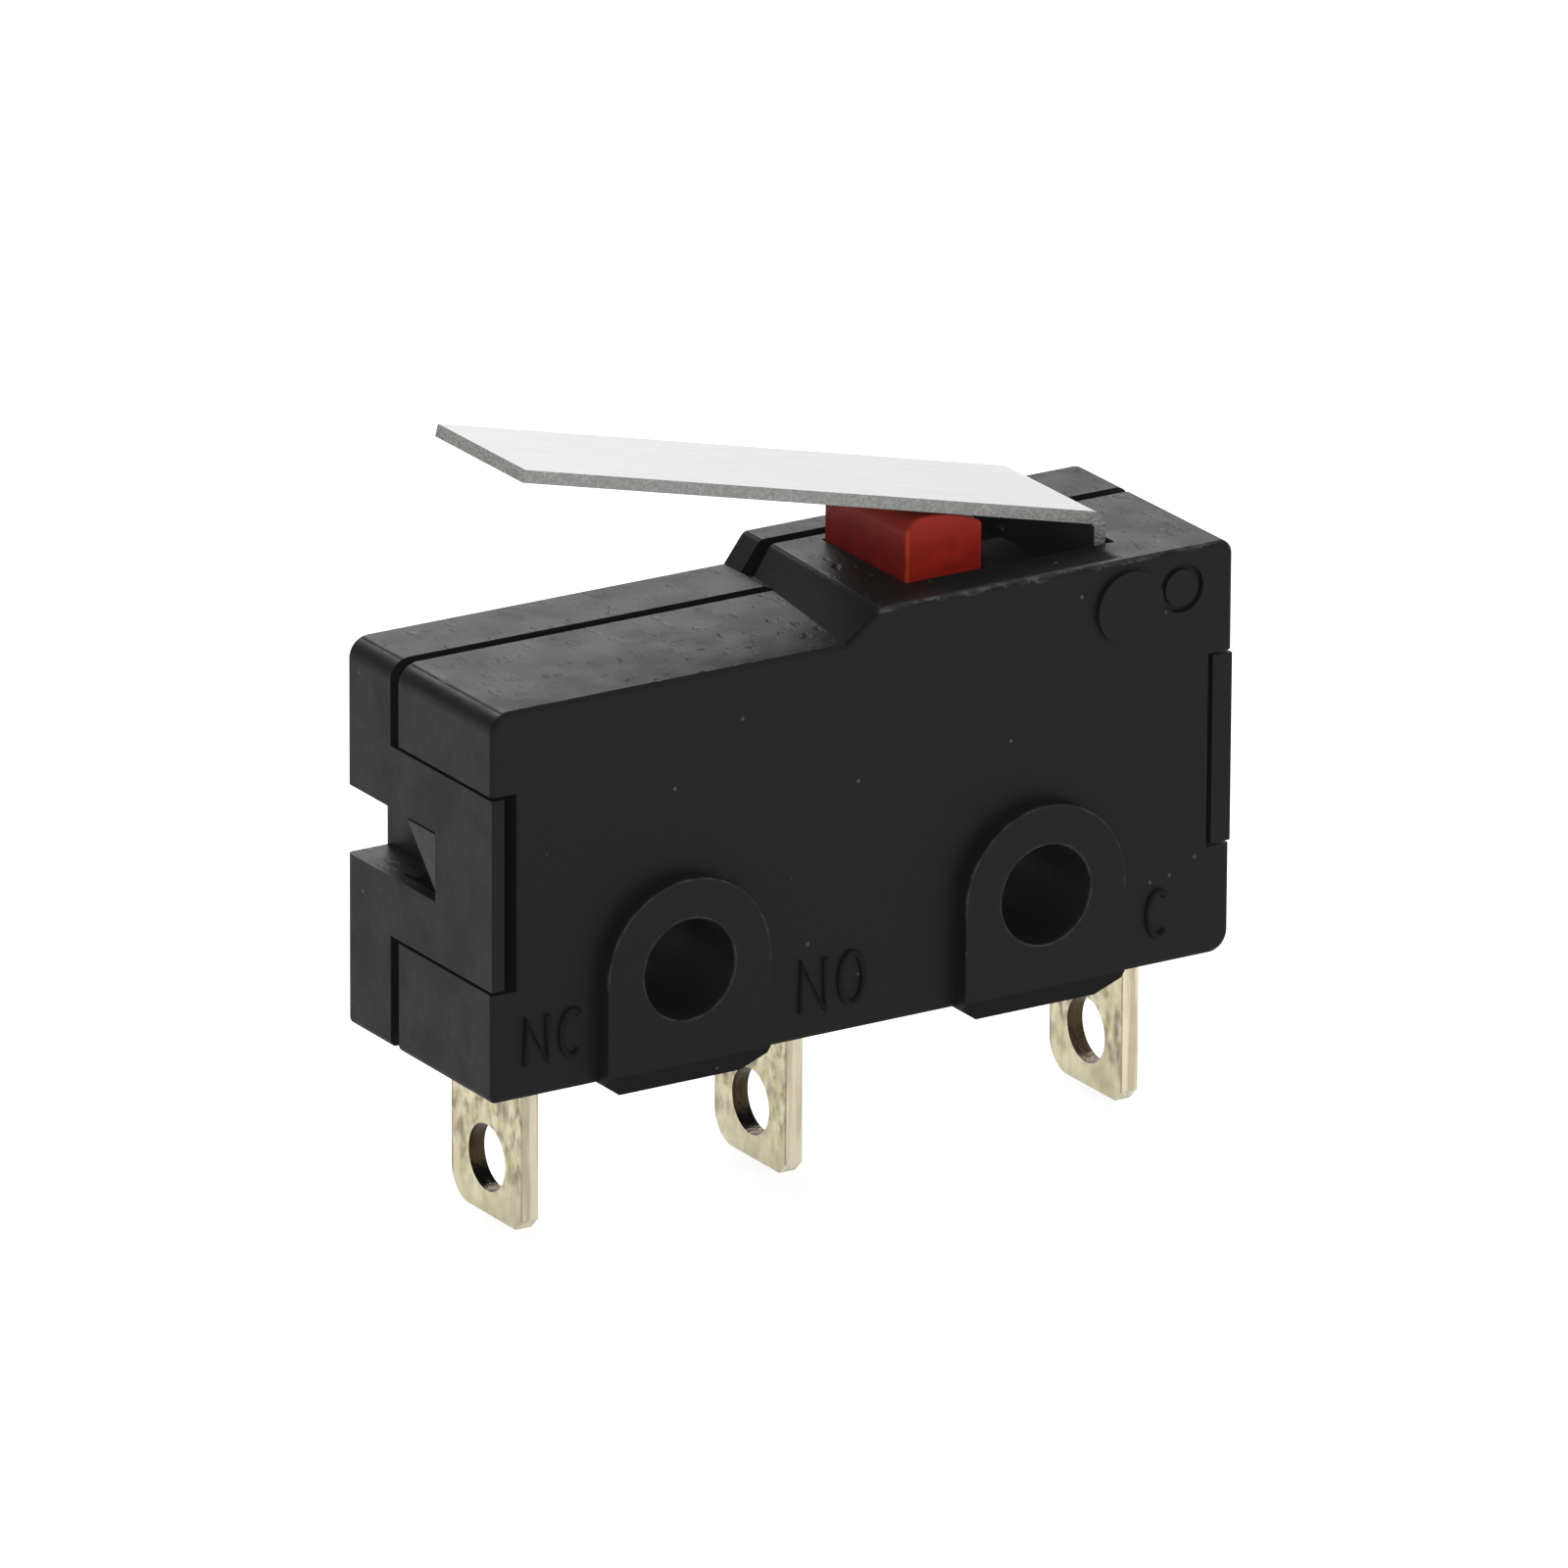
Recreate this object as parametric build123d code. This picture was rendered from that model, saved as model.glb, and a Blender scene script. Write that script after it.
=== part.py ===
from build123d import *
import math
import os

# A sub-miniature snap-action micro switch with a hinge lever, in millimetres.
# The origin lies midway between the two mounting holes, halfway through the case.
# X runs along the case towards the common terminal, Y runs from the front face to the rear, Z is up.

# Driving dimensions of the case
hole_pitch = 9.5
hole_radius = 1.2
left_margin = 4.95
right_margin = 5.25
hole_height = 2.45
low_height = 9.25
step_height = 0.7
case_thickness = 6.3
housing_depth = 4.05
front_wall = 1.2
rear_wall = 1.2
floor_wall = 1.0
low_roof = 1.0
high_roof = 0.9
edge_round = 0.12
groove_width = 0.36
groove_depth = 0.4
corner_top_left = 0.5
corner_top_right = 0.35
corner_bottom_right = 0.5
corner_bottom_left = 0.15

# The slope between the low and the high part of the case's top
slope_foot_front = -0.39
slope_top_front = 0.56
slope_foot_guide = 0.33
slope_top_guide = 0.78
slope_foot_rear = 0.22
slope_top_rear = 0.75
slope_round = 0.22

# The gap between the plunger's guide and the cover's rim behind it
guide_gap = 0.4
guide_play = 0.03

# Raised pads round the mounting holes
pad_radius = 2.15
pad_raise = 0.42
pad_foot = 0.4
pad_foot_chamfer = 0.55
pad_bevel = 0.6
pillar_radius = 2.0

# Snap arms of the cover and the wedges of the housing that hold them
arm_low = 2.6
arm_high = 7.3
left_arm_thickness = 0.33
right_arm_thickness = 0.52
arm_recess = 0.65
arm_play = 0.08
notch_low = 4.1
notch_high = 5.75
notch_depth = 1.05
notch_front = 2.45
wedge_length = 1.4
wedge_rise = 0.55
wedge_play = 0.06

# Marks left by the mould on the front face
pivot_disc_radius = 0.88
pivot_disc_raise = 0.12
ejector_ring_inset = 1.39
ejector_ring_drop = 0.95
ejector_ring_outer = 0.58
ejector_ring_inner = 0.44
ejector_ring_depth = 0.12

# Plunger
plunger_x = 3.0
plunger_width = 2.03
plunger_depth = 3.5
plunger_play = 0.05
plunger_gap = 0.02
plunger_edge_round = 0.07
crown_radius = 3.1
crown_offset = -0.455
crown_round_left = 0.45
crown_round_right = 0.12
flange_overhang = 0.35
flange_thickness = 0.7
flange_play = 0.02
foot_width = 0.9
foot_depth = 1.4
guide_right_wall = 0.28
channel_depth = 0.5

# Lever
pivot_x = 7.18
pivot_drop = 1.15
lever_thickness = 0.3
lever_width = 3.8
lever_angle = 13.5
lever_reach = 15.28
lever_rise = 1.77
lever_bend = 0.3
lever_tail = 0.42
ear_height = 0.78
ear_length = 0.65
ear_play = 0.1
socket_radius = 0.46
mouth_left_room = 0.86
mouth_right_room = 0.38

# Terminals
terminal_thickness = 0.42
terminal_width = 3.1
terminal_drop = 3.95
terminal_play = 0.03
solder_hole_radius = 0.8
solder_hole_drop = 2.6
blade_round = 0.75
blade_corner = 0.3
lock_notch_depth = 0.25
lock_notch_height = 0.4
lock_notch_rise = 0.3
nc_x = -7.72
no_x = -0.7
common_x = 8.39
plate_room = 0.1
terminal_bend = 0.3
shelf_play = 0.15
shelf_clearance = 0.225
shelf_lip = 0.8
common_clearance = 0.05

# Contacts
contact_offset = 1.6
contact_travel = 0.485
contact_gap = 0.02
contact_head_radius = 0.65
contact_shank_radius = 0.38
contact_shank_play = 0.02
contact_upset_radius = 0.55
contact_upset_height = 0.13
contact_chamfer = 0.12
moving_head_radius = 0.6

# Contact arm
arm_strip = 0.25
arm_width = 3.0
arm_edge_offset = 5.05
arm_edge_drop = 0.0875
arm_lip = 0.15
arm_corner = 0.5
window_half_width = 1.0
window_offset = 0.4
knife_length = 0.3
knife_edge = 0.06
hook_hole_radius = 0.22
hook_hole_offset = 1.8

# Wings of the common terminal, with a vee in each that the arm's knife edge bears on
wing_rise = 0.6
vee_depth = 0.35
vee_half_height = 0.3
vee_play = 0.04

# Rocker between the plunger and the spring
rocker_thickness = 0.3
rocker_width = 1.4
rocker_pivot_drop = 0.5
rocker_hook_offset = 6.25
rocker_hook_drop = 0.75
rocker_tip = 0.4
rocker_slot_length = 0.5
rocker_slot_width = 0.4
rocker_play = 0.1
rocker_head_width = 2.2
rocker_head_length = 0.28
rocker_room_height = 0.9
foot_gap = 0.02

# Spring
spring_wire = 0.18
spring_wire_sides = 4
spring_radius = 0.46
spring_turns = 9
spring_inset = 0.85
spring_hook_drop = 0.25
spring_bend = 0.12
spring_lead = 0.3

# How far a cutter runs past a face, and how deep an added feature is rooted in the solid that carries it
cut_past = 1.0
root = 0.2

# Levels and faces that follow from the driving dimensions
case_left = -hole_pitch / 2 - left_margin
case_right = hole_pitch / 2 + right_margin
case_bottom = -hole_height
low_top = case_bottom + low_height
high_top = low_top + step_height
front_face = -case_thickness / 2
rear_face = case_thickness / 2
parting = front_face + housing_depth
inner_front = front_face + front_wall
inner_rear = rear_face - rear_wall
inner_floor = case_bottom + floor_wall
low_ceiling = low_top - low_roof
high_ceiling = high_top - high_roof
inner_left = nc_x - terminal_thickness / 2 - plate_room
inner_right = common_x + terminal_thickness / 2 + plate_room
slope_run = slope_foot_guide - slope_foot_front
slope_foot_parting = slope_foot_front + slope_run * housing_depth / (inner_rear - front_face)
hole_xs = (-hole_pitch / 2, hole_pitch / 2)
plunger_left = plunger_x - plunger_width / 2
plunger_right = plunger_x + plunger_width / 2
plunger_front = inner_front + plunger_play
plunger_rear = plunger_front + plunger_depth
guide_right = plunger_right + plunger_play + guide_right_wall
pivot_z = high_top - pivot_drop
mouth_left = pivot_x - mouth_left_room
mouth_right = pivot_x + mouth_right_room
socket_end = lever_width / 2 + ear_length + ear_play
terminal_xs = (nc_x, no_x, common_x)
solder_hole_z = case_bottom - solder_hole_drop
terminal_tip = case_bottom - terminal_drop

# Levels and places of the inner parts, from the room between the pillars and the ceiling
nc_shelf_z = low_ceiling - shelf_clearance - terminal_thickness / 2
no_shelf_z = pillar_radius + shelf_play + terminal_thickness / 2
upper_shelf_face = nc_shelf_z - terminal_thickness / 2
lower_shelf_face = no_shelf_z + terminal_thickness / 2
shelf_room = upper_shelf_face - lower_shelf_face
contact_head_height = (shelf_room - arm_strip - contact_travel - 2 * contact_gap) / 4
contact_x = nc_x + contact_offset
arm_edge_x = common_x - arm_edge_offset
arm_edge_z = (upper_shelf_face + lower_shelf_face) / 2 - arm_edge_drop
hook_hole_x = contact_x + hook_hole_offset
wing_low = pillar_radius + shelf_play
wing_high = arm_edge_z + wing_rise
common_top = low_ceiling - common_clearance
rocker_pivot_z = common_top - rocker_pivot_drop
rocker_hook_x = common_x - rocker_hook_offset
rocker_hook_z = rocker_pivot_z - rocker_hook_drop
rocker_pocket = common_x + terminal_thickness / 2 + rocker_play / 2 + rocker_head_length + rocker_play


def prism(sketch, y_front, y_rear):
    """Extrude a sketch drawn in X and Z between two depths."""
    return extrude(Plane.XZ.offset(-y_rear) * sketch, y_rear - y_front)


def block(x0, x1, y0, y1, z0, z1):
    """A box given by its low and high corner values."""
    return Pos((x0 + x1) / 2, (y0 + y1) / 2, (z0 + z1) / 2) * Box(x1 - x0, y1 - y0, z1 - z0)


def bore(x, z, radius, y_front, y_rear):
    """A round bar along Y, used for pillars and for holes."""
    return prism(Pos(x, z) * Circle(radius), y_front, y_rear)


def outline(slope_foot, slope_top, inset=0):
    """The case seen from the front, with its rounded corners, or the same shape drawn in by an inset."""
    left = case_left + inset
    right = case_right - inset
    bottom = case_bottom + inset
    low = low_top - inset
    high = high_top - inset
    points = [
        (left, bottom),
        (right, bottom),
        (right, high),
        (slope_top + inset / 2, high),
        (slope_foot + inset / 2, low),
        (left, low),
    ]
    radii = {
        0: corner_bottom_left,
        1: corner_bottom_right,
        2: corner_top_right,
        3: slope_round,
        5: corner_top_left,
    }
    face = make_face(Polyline(*points, close=True))
    for index, radius in radii.items():
        if radius > inset:
            corner = face.vertices().sort_by_distance(Vector(*points[index], 0))[0]
            face = fillet(corner, radius - inset)
    return face


def cavity_outline():
    """The room inside the case, which both halves share."""
    points = [
        (inner_left, inner_floor),
        (inner_right, inner_floor),
        (inner_right, low_ceiling),
        (mouth_right, low_ceiling),
        (mouth_right, high_ceiling),
        (slope_top_rear, high_ceiling),
        (slope_foot_guide, low_ceiling),
        (inner_left, low_ceiling),
    ]
    return make_face(Polyline(*points, close=True))


def pad_outline(x):
    """A raised pad: an arch over the mounting hole and a foot with cut corners below the case."""
    foot = case_bottom - pad_foot
    arch = CenterArc((x, 0), pad_radius, 0, 180)
    legs = Polyline(
        (x - pad_radius, 0),
        (x - pad_radius, case_bottom),
        (x - pad_radius + pad_foot_chamfer, foot),
        (x + pad_radius - pad_foot_chamfer, foot),
        (x + pad_radius, case_bottom),
        (x + pad_radius, 0),
    )
    return make_face([arch, legs])


def make_pad(x):
    """A raised pad on the front face, whose lower end is bevelled back to the face."""
    pad_front = front_face - pad_raise
    foot = case_bottom - pad_foot
    pad = prism(pad_outline(x), pad_front, front_face + root)
    corners = ((pad_front, foot), (pad_front, foot + pad_bevel), (front_face, foot))
    bevel = make_face(Polyline(*corners, close=True))
    return pad - extrude(Plane.YZ.offset(x - pad_radius) * bevel, 2 * pad_radius)


def foot_pads(y_front, y_rear):
    """The feet of both pads, carried on below the case."""
    feet = []
    for x in hole_xs:
        foot_z = (case_bottom - pad_foot, case_bottom + root)
        below = block(x - pad_radius, x + pad_radius, y_front, y_rear, *foot_z)
        feet.append(prism(pad_outline(x), y_front, y_rear) & below)
    return feet


def terminal_slots():
    """Slots in the floor for the terminals, with ribs that fill the blades' lock notches."""
    slots = []
    half_thick = terminal_thickness / 2 + terminal_play
    half_wide = terminal_width / 2 + terminal_play
    notch_z = case_bottom + lock_notch_rise
    for x in terminal_xs:
        slot_z = (case_bottom - cut_past, inner_floor + root)
        slot = block(x - half_thick, x + half_thick, -half_wide, half_wide, *slot_z)
        for side in (-1, 1):
            rib_y = sorted((side * half_wide, side * (half_wide - lock_notch_depth)))
            rib_z = (notch_z + terminal_play, notch_z + lock_notch_height - terminal_play)
            slot -= block(x - half_thick, x + half_thick, *rib_y, *rib_z)
        slots.append(slot)
    return slots


def end_features(side):
    """Places along one end of the case: its face, the arm's inner face, the recess and the notch."""
    end, thickness = (case_left, left_arm_thickness) if side < 0 else (case_right, right_arm_thickness)
    return [end - side * depth for depth in (0, thickness, arm_recess, notch_depth)]


def span(a, b):
    """Two values in rising order."""
    return (a, b) if a < b else (b, a)


def rocker_room():
    """A pocket in the right end wall for the rocker's head, which dips as the rocker turns."""
    half = rocker_head_width / 2 + rocker_play
    room_z = (rocker_pivot_z - rocker_room_height / 2, rocker_pivot_z + rocker_room_height / 2)
    return block(inner_right - root, rocker_pocket, -half, half, *room_z)


def ejector_ring():
    """The shallow ring that the mould leaves near the top right corner of the front face."""
    place = Pos(case_right - ejector_ring_inset, high_top - ejector_ring_drop)
    ring = place * (Circle(ejector_ring_outer) - Circle(ejector_ring_inner))
    return prism(ring, front_face - cut_past, front_face + ejector_ring_depth)


def latch_wedge(side):
    """The wedge that the cover's snap arm catches on, with its lower rear corner cut off at a slant."""
    recess = end_features(side)[2]
    wedge_front = front_face + notch_front + wedge_play
    wedge_rear = wedge_front + wedge_length
    wedge_low = case_bottom + notch_low + wedge_play
    wedge_high = case_bottom + notch_high - wedge_play
    wedge = make_face(Polyline(
        (recess - side * root, wedge_front),
        (recess + side * wedge_rise, wedge_front),
        (recess, wedge_rear),
        (recess - side * root, wedge_rear),
        close=True,
    ))
    slant = ((wedge_front, wedge_low), (wedge_rear, wedge_high), (wedge_rear, wedge_low))
    corner = Plane.YZ.offset(recess) * make_face(Polyline(*slant, close=True))
    wedge = extrude(Pos(0, 0, wedge_low) * wedge, wedge_high - wedge_low)
    return wedge - extrude(corner, root + wedge_rise, both=True)


def make_front_housing():
    """The front half of the case, with the plunger's guide, the pillars and the latch wedges."""
    guide_rear = inner_rear
    top_past = high_top + cut_past
    front_outline = Plane.XZ.offset(-front_face) * outline(slope_foot_front, slope_top_front)
    guide_outline = Plane.XZ.offset(-guide_rear) * outline(slope_foot_guide, slope_top_guide)
    shell = loft([front_outline, guide_outline], ruled=True)
    shell = fillet(shell.faces().sort_by(Axis.Y)[0].edges(), edge_round)
    guide_left = slope_foot_parting + guide_play
    guide_keep = block(guide_left, guide_right, parting - root, guide_rear, high_ceiling, top_past)
    ends = (case_left - cut_past, case_right + cut_past)
    front_keep = block(*ends, front_face - cut_past, parting, case_bottom - cut_past, top_past)
    shell = shell & (front_keep + guide_keep)
    shell -= prism(cavity_outline(), inner_front, guide_rear + cut_past)
    for x in hole_xs:
        shell += bore(x, 0, pillar_radius, inner_front - root, parting)
        shell += make_pad(x)
    for foot in foot_pads(front_face, parting):
        shell += foot
    shell += bore(pivot_x, pivot_z, pivot_disc_radius, front_face - pivot_disc_raise, front_face + root)
    shell -= ejector_ring()
    for x in hole_xs:
        shell -= bore(x, 0, hole_radius, front_face - pad_raise - cut_past, parting + cut_past)
    for slot in terminal_slots():
        shell -= slot
    shell -= block(
        plunger_left - plunger_play,
        plunger_right + plunger_play,
        inner_front,
        plunger_rear + plunger_play,
        high_ceiling - root,
        top_past,
    )
    mouth_y = (inner_front, guide_rear + cut_past)
    shell -= block(guide_right, mouth_right, *mouth_y, high_top - channel_depth, top_past)
    shell -= block(mouth_left, mouth_right, *mouth_y, low_ceiling, top_past)
    shell -= bore(pivot_x, pivot_z, socket_radius, -socket_end, inner_front + root)
    shell -= rocker_room()
    for side in (-1, 1):
        end, arm_inner, recess, notch = end_features(side)
        arm_z = (case_bottom + arm_low, case_bottom + arm_high)
        shell -= block(*span(end + side, recess), front_face - cut_past, parting + cut_past, *arm_z)
        shell += latch_wedge(side)
    return shell


def make_rear_cover():
    """The rear half of the case, whose two snap arms reach round the ends to the front face."""
    top_past = high_top + cut_past
    shell = prism(outline(slope_foot_rear, slope_top_rear), parting, rear_face)
    shell = fillet(shell.faces().sort_by(Axis.Y)[-1].edges(), edge_round)
    groove = outline(slope_foot_rear, slope_top_rear)
    groove -= outline(slope_foot_rear, slope_top_rear, groove_depth)
    shell -= prism(groove, parting, parting + groove_width)
    shell -= prism(cavity_outline(), parting - cut_past, inner_rear)
    guide_y = (parting - cut_past, inner_rear)
    shell -= block(slope_foot_parting, mouth_right, *guide_y, high_ceiling - root, top_past)
    gap_y = (inner_rear - root, inner_rear + guide_gap)
    shell -= block(slope_foot_rear, mouth_right, *gap_y, high_ceiling, top_past)
    for x in hole_xs:
        shell += bore(x, 0, pillar_radius, parting, inner_rear + root)
    for foot in foot_pads(parting, rear_face):
        shell += foot
    for x in hole_xs:
        shell -= bore(x, 0, hole_radius, parting - cut_past, rear_face + cut_past)
    for slot in terminal_slots():
        shell -= slot
    shell -= bore(pivot_x, pivot_z, socket_radius, inner_rear - root, socket_end)
    shell -= rocker_room()
    for side in (-1, 1):
        end, arm_inner, recess, notch = end_features(side)
        arm_z = (case_bottom + arm_low + arm_play, case_bottom + arm_high - arm_play)
        shell += block(*span(end, arm_inner), front_face, parting + groove_width + root, *arm_z)
        notch_z = (case_bottom + notch_low, case_bottom + notch_high)
        shell -= block(*span(end + side, notch), parting, rear_face + cut_past, *notch_z)
        shell -= block(*span(end + side, arm_inner), front_face + notch_front, parting + cut_past, *notch_z)
    return shell


def plunger_crown_top():
    """The height at which the plunger's crown all but touches the lever at rest."""
    angle = math.radians(lever_angle)
    underside = lever_rise * math.cos(angle) - lever_thickness / 2
    reach = pivot_x - plunger_x - crown_offset
    centre = (underside - plunger_gap - crown_radius + reach * math.sin(angle)) / math.cos(angle)
    return pivot_z + centre + crown_radius


def crown_point(x):
    """A point of the plunger's crown at a place across it."""
    centre_x = plunger_x + crown_offset
    centre_z = plunger_crown_top() - crown_radius
    return (x, centre_z + math.sqrt(crown_radius**2 - (x - centre_x) ** 2))


def make_plunger():
    """The push button: a crowned block with two stop flanges and a foot that bears on the rocker."""
    neck = high_ceiling - flange_play
    shoulder = neck - flange_thickness
    crown = ThreePointArc(crown_point(plunger_left), crown_point(plunger_x), crown_point(plunger_right))
    sides = Polyline(crown @ 1, (plunger_right, shoulder), (plunger_left, shoulder), crown @ 0)
    profile = make_face([crown, sides])
    for end, radius in ((crown @ 0, crown_round_left), (crown @ 1, crown_round_right)):
        corner = profile.vertices().sort_by_distance(end)[0]
        profile = fillet(corner, radius)
    solid = prism(profile, plunger_front, plunger_rear)
    faces = solid.faces().sort_by(Axis.Y)
    solid = fillet(faces[0].edges() + faces[-1].edges(), plunger_edge_round)
    solid += block(
        plunger_left - flange_overhang,
        plunger_right + flange_overhang,
        plunger_front,
        plunger_rear,
        shoulder,
        neck,
    )
    foot_tip = rocker_top_z(plunger_x) + foot_gap
    stem_low = foot_tip + foot_width / 2
    stem_high = shoulder + root
    stem = Pos(plunger_x, (stem_low + stem_high) / 2) * Rectangle(foot_width, stem_high - stem_low)
    tip = Pos(plunger_x, stem_low) * Circle(foot_width / 2)
    return solid + prism(stem + tip, -foot_depth / 2, foot_depth / 2)


def bent_strip(points, bend, thickness, width):
    """A strip of sheet metal: a bent line in X and Z, thickened and given its width."""
    line = FilletPolyline(*points, radius=bend) if len(points) > 2 else Line(*points)
    return prism(trace(line, thickness), -width / 2, width / 2)


def make_lever():
    """The hinge lever: a long flat strip, bent down at its right end into a leg with two ears."""
    angle = math.radians(lever_angle)
    bend = (pivot_x, pivot_z + lever_rise)
    tip = (pivot_x - lever_reach, bend[1] + lever_reach * math.tan(angle))
    line = [(pivot_x, pivot_z - lever_tail), bend, tip]
    strip = bent_strip(line, lever_bend, lever_thickness, lever_width)
    half = lever_thickness / 2
    ears = block(
        pivot_x - half,
        pivot_x + half,
        -lever_width / 2 - ear_length,
        lever_width / 2 + ear_length,
        pivot_z - ear_height / 2,
        pivot_z + ear_height / 2,
    )
    return strip + ears


def blade_cutter(x):
    """What is cut off a terminal's blade: its lower corners, the solder hole and the lock notches."""
    half = terminal_width / 2
    reach = terminal_thickness
    side_plane = Plane.YZ.offset(x - reach)
    middle = Pos(0, terminal_tip + terminal_drop / 2)
    keep = middle * Rectangle(terminal_width, terminal_drop)
    outer = middle * Rectangle(terminal_width + 2 * cut_past, terminal_drop + 2 * cut_past)
    outer -= middle * Pos(0, terminal_drop) * Rectangle(terminal_width, terminal_drop)
    for y, trim, size in ((half, fillet, blade_round), (-half, chamfer, blade_corner)):
        corner = keep.vertices().sort_by_distance(Vector(y, terminal_tip, 0))[0]
        keep = trim(corner, size)
    cut = extrude(side_plane * (outer - keep), 2 * reach)
    cut += extrude(side_plane * (Pos(0, solder_hole_z) * Circle(solder_hole_radius)), 2 * reach)
    notch_z = case_bottom + lock_notch_rise
    for side in (-1, 1):
        notch_y = span(side * (half - lock_notch_depth), side * (half + root))
        cut += block(x - reach, x + reach, *notch_y, notch_z, notch_z + lock_notch_height)
    return cut


def shank_hole(z, thickness):
    """The hole for a contact's shank through a strip at a level."""
    return Pos(contact_x, 0, z) * Cylinder(contact_shank_radius + contact_shank_play, 2 * thickness)


def shelf_terminal(x, shelf_z, shelf_end):
    """A terminal whose upper end is bent over into a shelf that carries a contact."""
    line = [(x, terminal_tip), (x, shelf_z), (shelf_end, shelf_z)]
    strip = bent_strip(line, terminal_bend, terminal_thickness, terminal_width)
    return strip - blade_cutter(x) - shank_hole(shelf_z, terminal_thickness)


def make_common_terminal():
    """The common terminal: a tall plate folded into a frame with two wings."""
    half = terminal_thickness / 2
    line = [(common_x, terminal_tip), (common_x, common_top)]
    plate = bent_strip(line, terminal_bend, terminal_thickness, terminal_width)
    vee_x = arm_edge_x + vee_play
    wing_left = vee_x - vee_depth
    wing = make_face(Polyline(
        (wing_left, wing_low),
        (common_x, wing_low),
        (common_x, wing_high),
        (wing_left, wing_high),
        (wing_left, arm_edge_z + vee_half_height),
        (vee_x, arm_edge_z),
        (wing_left, arm_edge_z - vee_half_height),
        close=True,
    ))
    for side in (-1, 1):
        wing_y = span(side * terminal_width / 2, side * (terminal_width / 2 - terminal_thickness))
        plate += prism(wing, *wing_y)
    window_half = rocker_thickness / 2 + rocker_play
    window_z = (rocker_pivot_z - window_half, rocker_pivot_z + window_half)
    window_y = (-rocker_width / 2 - rocker_play, rocker_width / 2 + rocker_play)
    window = block(common_x - 2 * half, common_x + 2 * half, *window_y, *window_z)
    return plate - window - blade_cutter(common_x)


def contact_head(radius, middle_z, away):
    """A contact's head with a bevelled rim on the side that faces away from its shank."""
    head = Pos(contact_x, 0, middle_z) * Cylinder(radius, contact_head_height)
    rim = head.edges().filter_by(GeomType.CIRCLE).sort_by(Axis.Z)[-1 if away > 0 else 0]
    return chamfer(rim, contact_chamfer)


def fixed_contact(shelf_face, away):
    """A riveted contact: a head on the shelf, a shank through it and a flat upset end."""
    head = contact_head(contact_head_radius, shelf_face + away * contact_head_height / 2, away)
    shank_middle = shelf_face - away * terminal_thickness / 2
    shank = Pos(contact_x, 0, shank_middle) * Cylinder(contact_shank_radius, terminal_thickness + root)
    upset_middle = shelf_face - away * (terminal_thickness + contact_upset_height / 2)
    upset = Pos(contact_x, 0, upset_middle) * Cylinder(contact_upset_radius, contact_upset_height)
    return head + shank + upset


def arm_rest_angle():
    """The arm's tilt at rest, where the moving contact all but touches the upper contact."""
    centre = upper_shelf_face - 2 * contact_head_height - contact_gap - arm_strip / 2
    return math.degrees(math.asin((centre - arm_edge_z) / (arm_edge_x - contact_x)))


def at_rest(solid):
    """Turn a piece that is drawn level about the arm's knife edge to its place at rest."""
    edge = Pos(arm_edge_x, 0, arm_edge_z)
    return edge * Rot(0, arm_rest_angle(), 0) * edge.inverse() * solid


def make_contact_arm():
    """The moving arm: a strip with a window for the spring, and knife edges on its two rails."""
    half = arm_strip / 2
    left_end = contact_x - moving_head_radius - arm_lip
    profile = make_face(Polyline(
        (left_end, arm_edge_z - half),
        (arm_edge_x - knife_length, arm_edge_z - half),
        (arm_edge_x, arm_edge_z - knife_edge / 2),
        (arm_edge_x, arm_edge_z + knife_edge / 2),
        (arm_edge_x - knife_length, arm_edge_z + half),
        (left_end, arm_edge_z + half),
        close=True,
    ))
    strip = prism(profile, -arm_width / 2, arm_width / 2)
    window_x = (hook_hole_x + window_offset, arm_edge_x + cut_past)
    window_z = (arm_edge_z - arm_strip, arm_edge_z + arm_strip)
    strip -= block(*window_x, -window_half_width, window_half_width, *window_z)
    strip -= Pos(hook_hole_x, 0, arm_edge_z) * Cylinder(hook_hole_radius, 2 * arm_strip)
    strip -= shank_hole(arm_edge_z, arm_strip)
    ends = strip.edges().filter_by(Axis.Z).group_by(Axis.X)[0]
    strip = fillet(ends, arm_corner)
    return at_rest(strip)


def make_moving_contact():
    """The moving contact: one rivet with a head on each side of the arm."""
    rivet = Pos(contact_x, 0, arm_edge_z) * Cylinder(contact_shank_radius, arm_strip + contact_head_height)
    for away in (-1, 1):
        middle = arm_edge_z + away * (arm_strip + contact_head_height) / 2
        rivet += contact_head(moving_head_radius, middle, away)
    return at_rest(rivet)


def rocker_slope():
    """The rocker's slope at rest, rising to the right."""
    return (rocker_pivot_z - rocker_hook_z) / (common_x - rocker_hook_x)


def rocker_top_z(x):
    """The height of the rocker's upper side at a place along it."""
    centre = rocker_hook_z + (x - rocker_hook_x) * rocker_slope()
    return centre + rocker_thickness / 2 * math.hypot(1, rocker_slope())


def make_rocker():
    """The rocker: a strip hung in the common terminal's window, with a head and a slot for the hook."""
    angle = math.degrees(math.atan(rocker_slope()))
    length = math.hypot(rocker_hook_offset, rocker_hook_drop)
    head_start = terminal_thickness / 2 + rocker_play / 2
    head_end = head_start + rocker_head_length
    half = rocker_thickness / 2
    strip = block(-length - rocker_tip, head_end, -rocker_width / 2, rocker_width / 2, -half, half)
    strip += block(head_start, head_end, -rocker_head_width / 2, rocker_head_width / 2, -half, half)
    slot_x = (-length - rocker_slot_length / 2, -length + rocker_slot_length / 2)
    slot_y = (-rocker_slot_width / 2, rocker_slot_width / 2)
    strip -= block(*slot_x, *slot_y, -rocker_thickness, rocker_thickness)
    return Pos(common_x, 0, rocker_pivot_z) * Rot(0, -angle, 0) * strip


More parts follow.
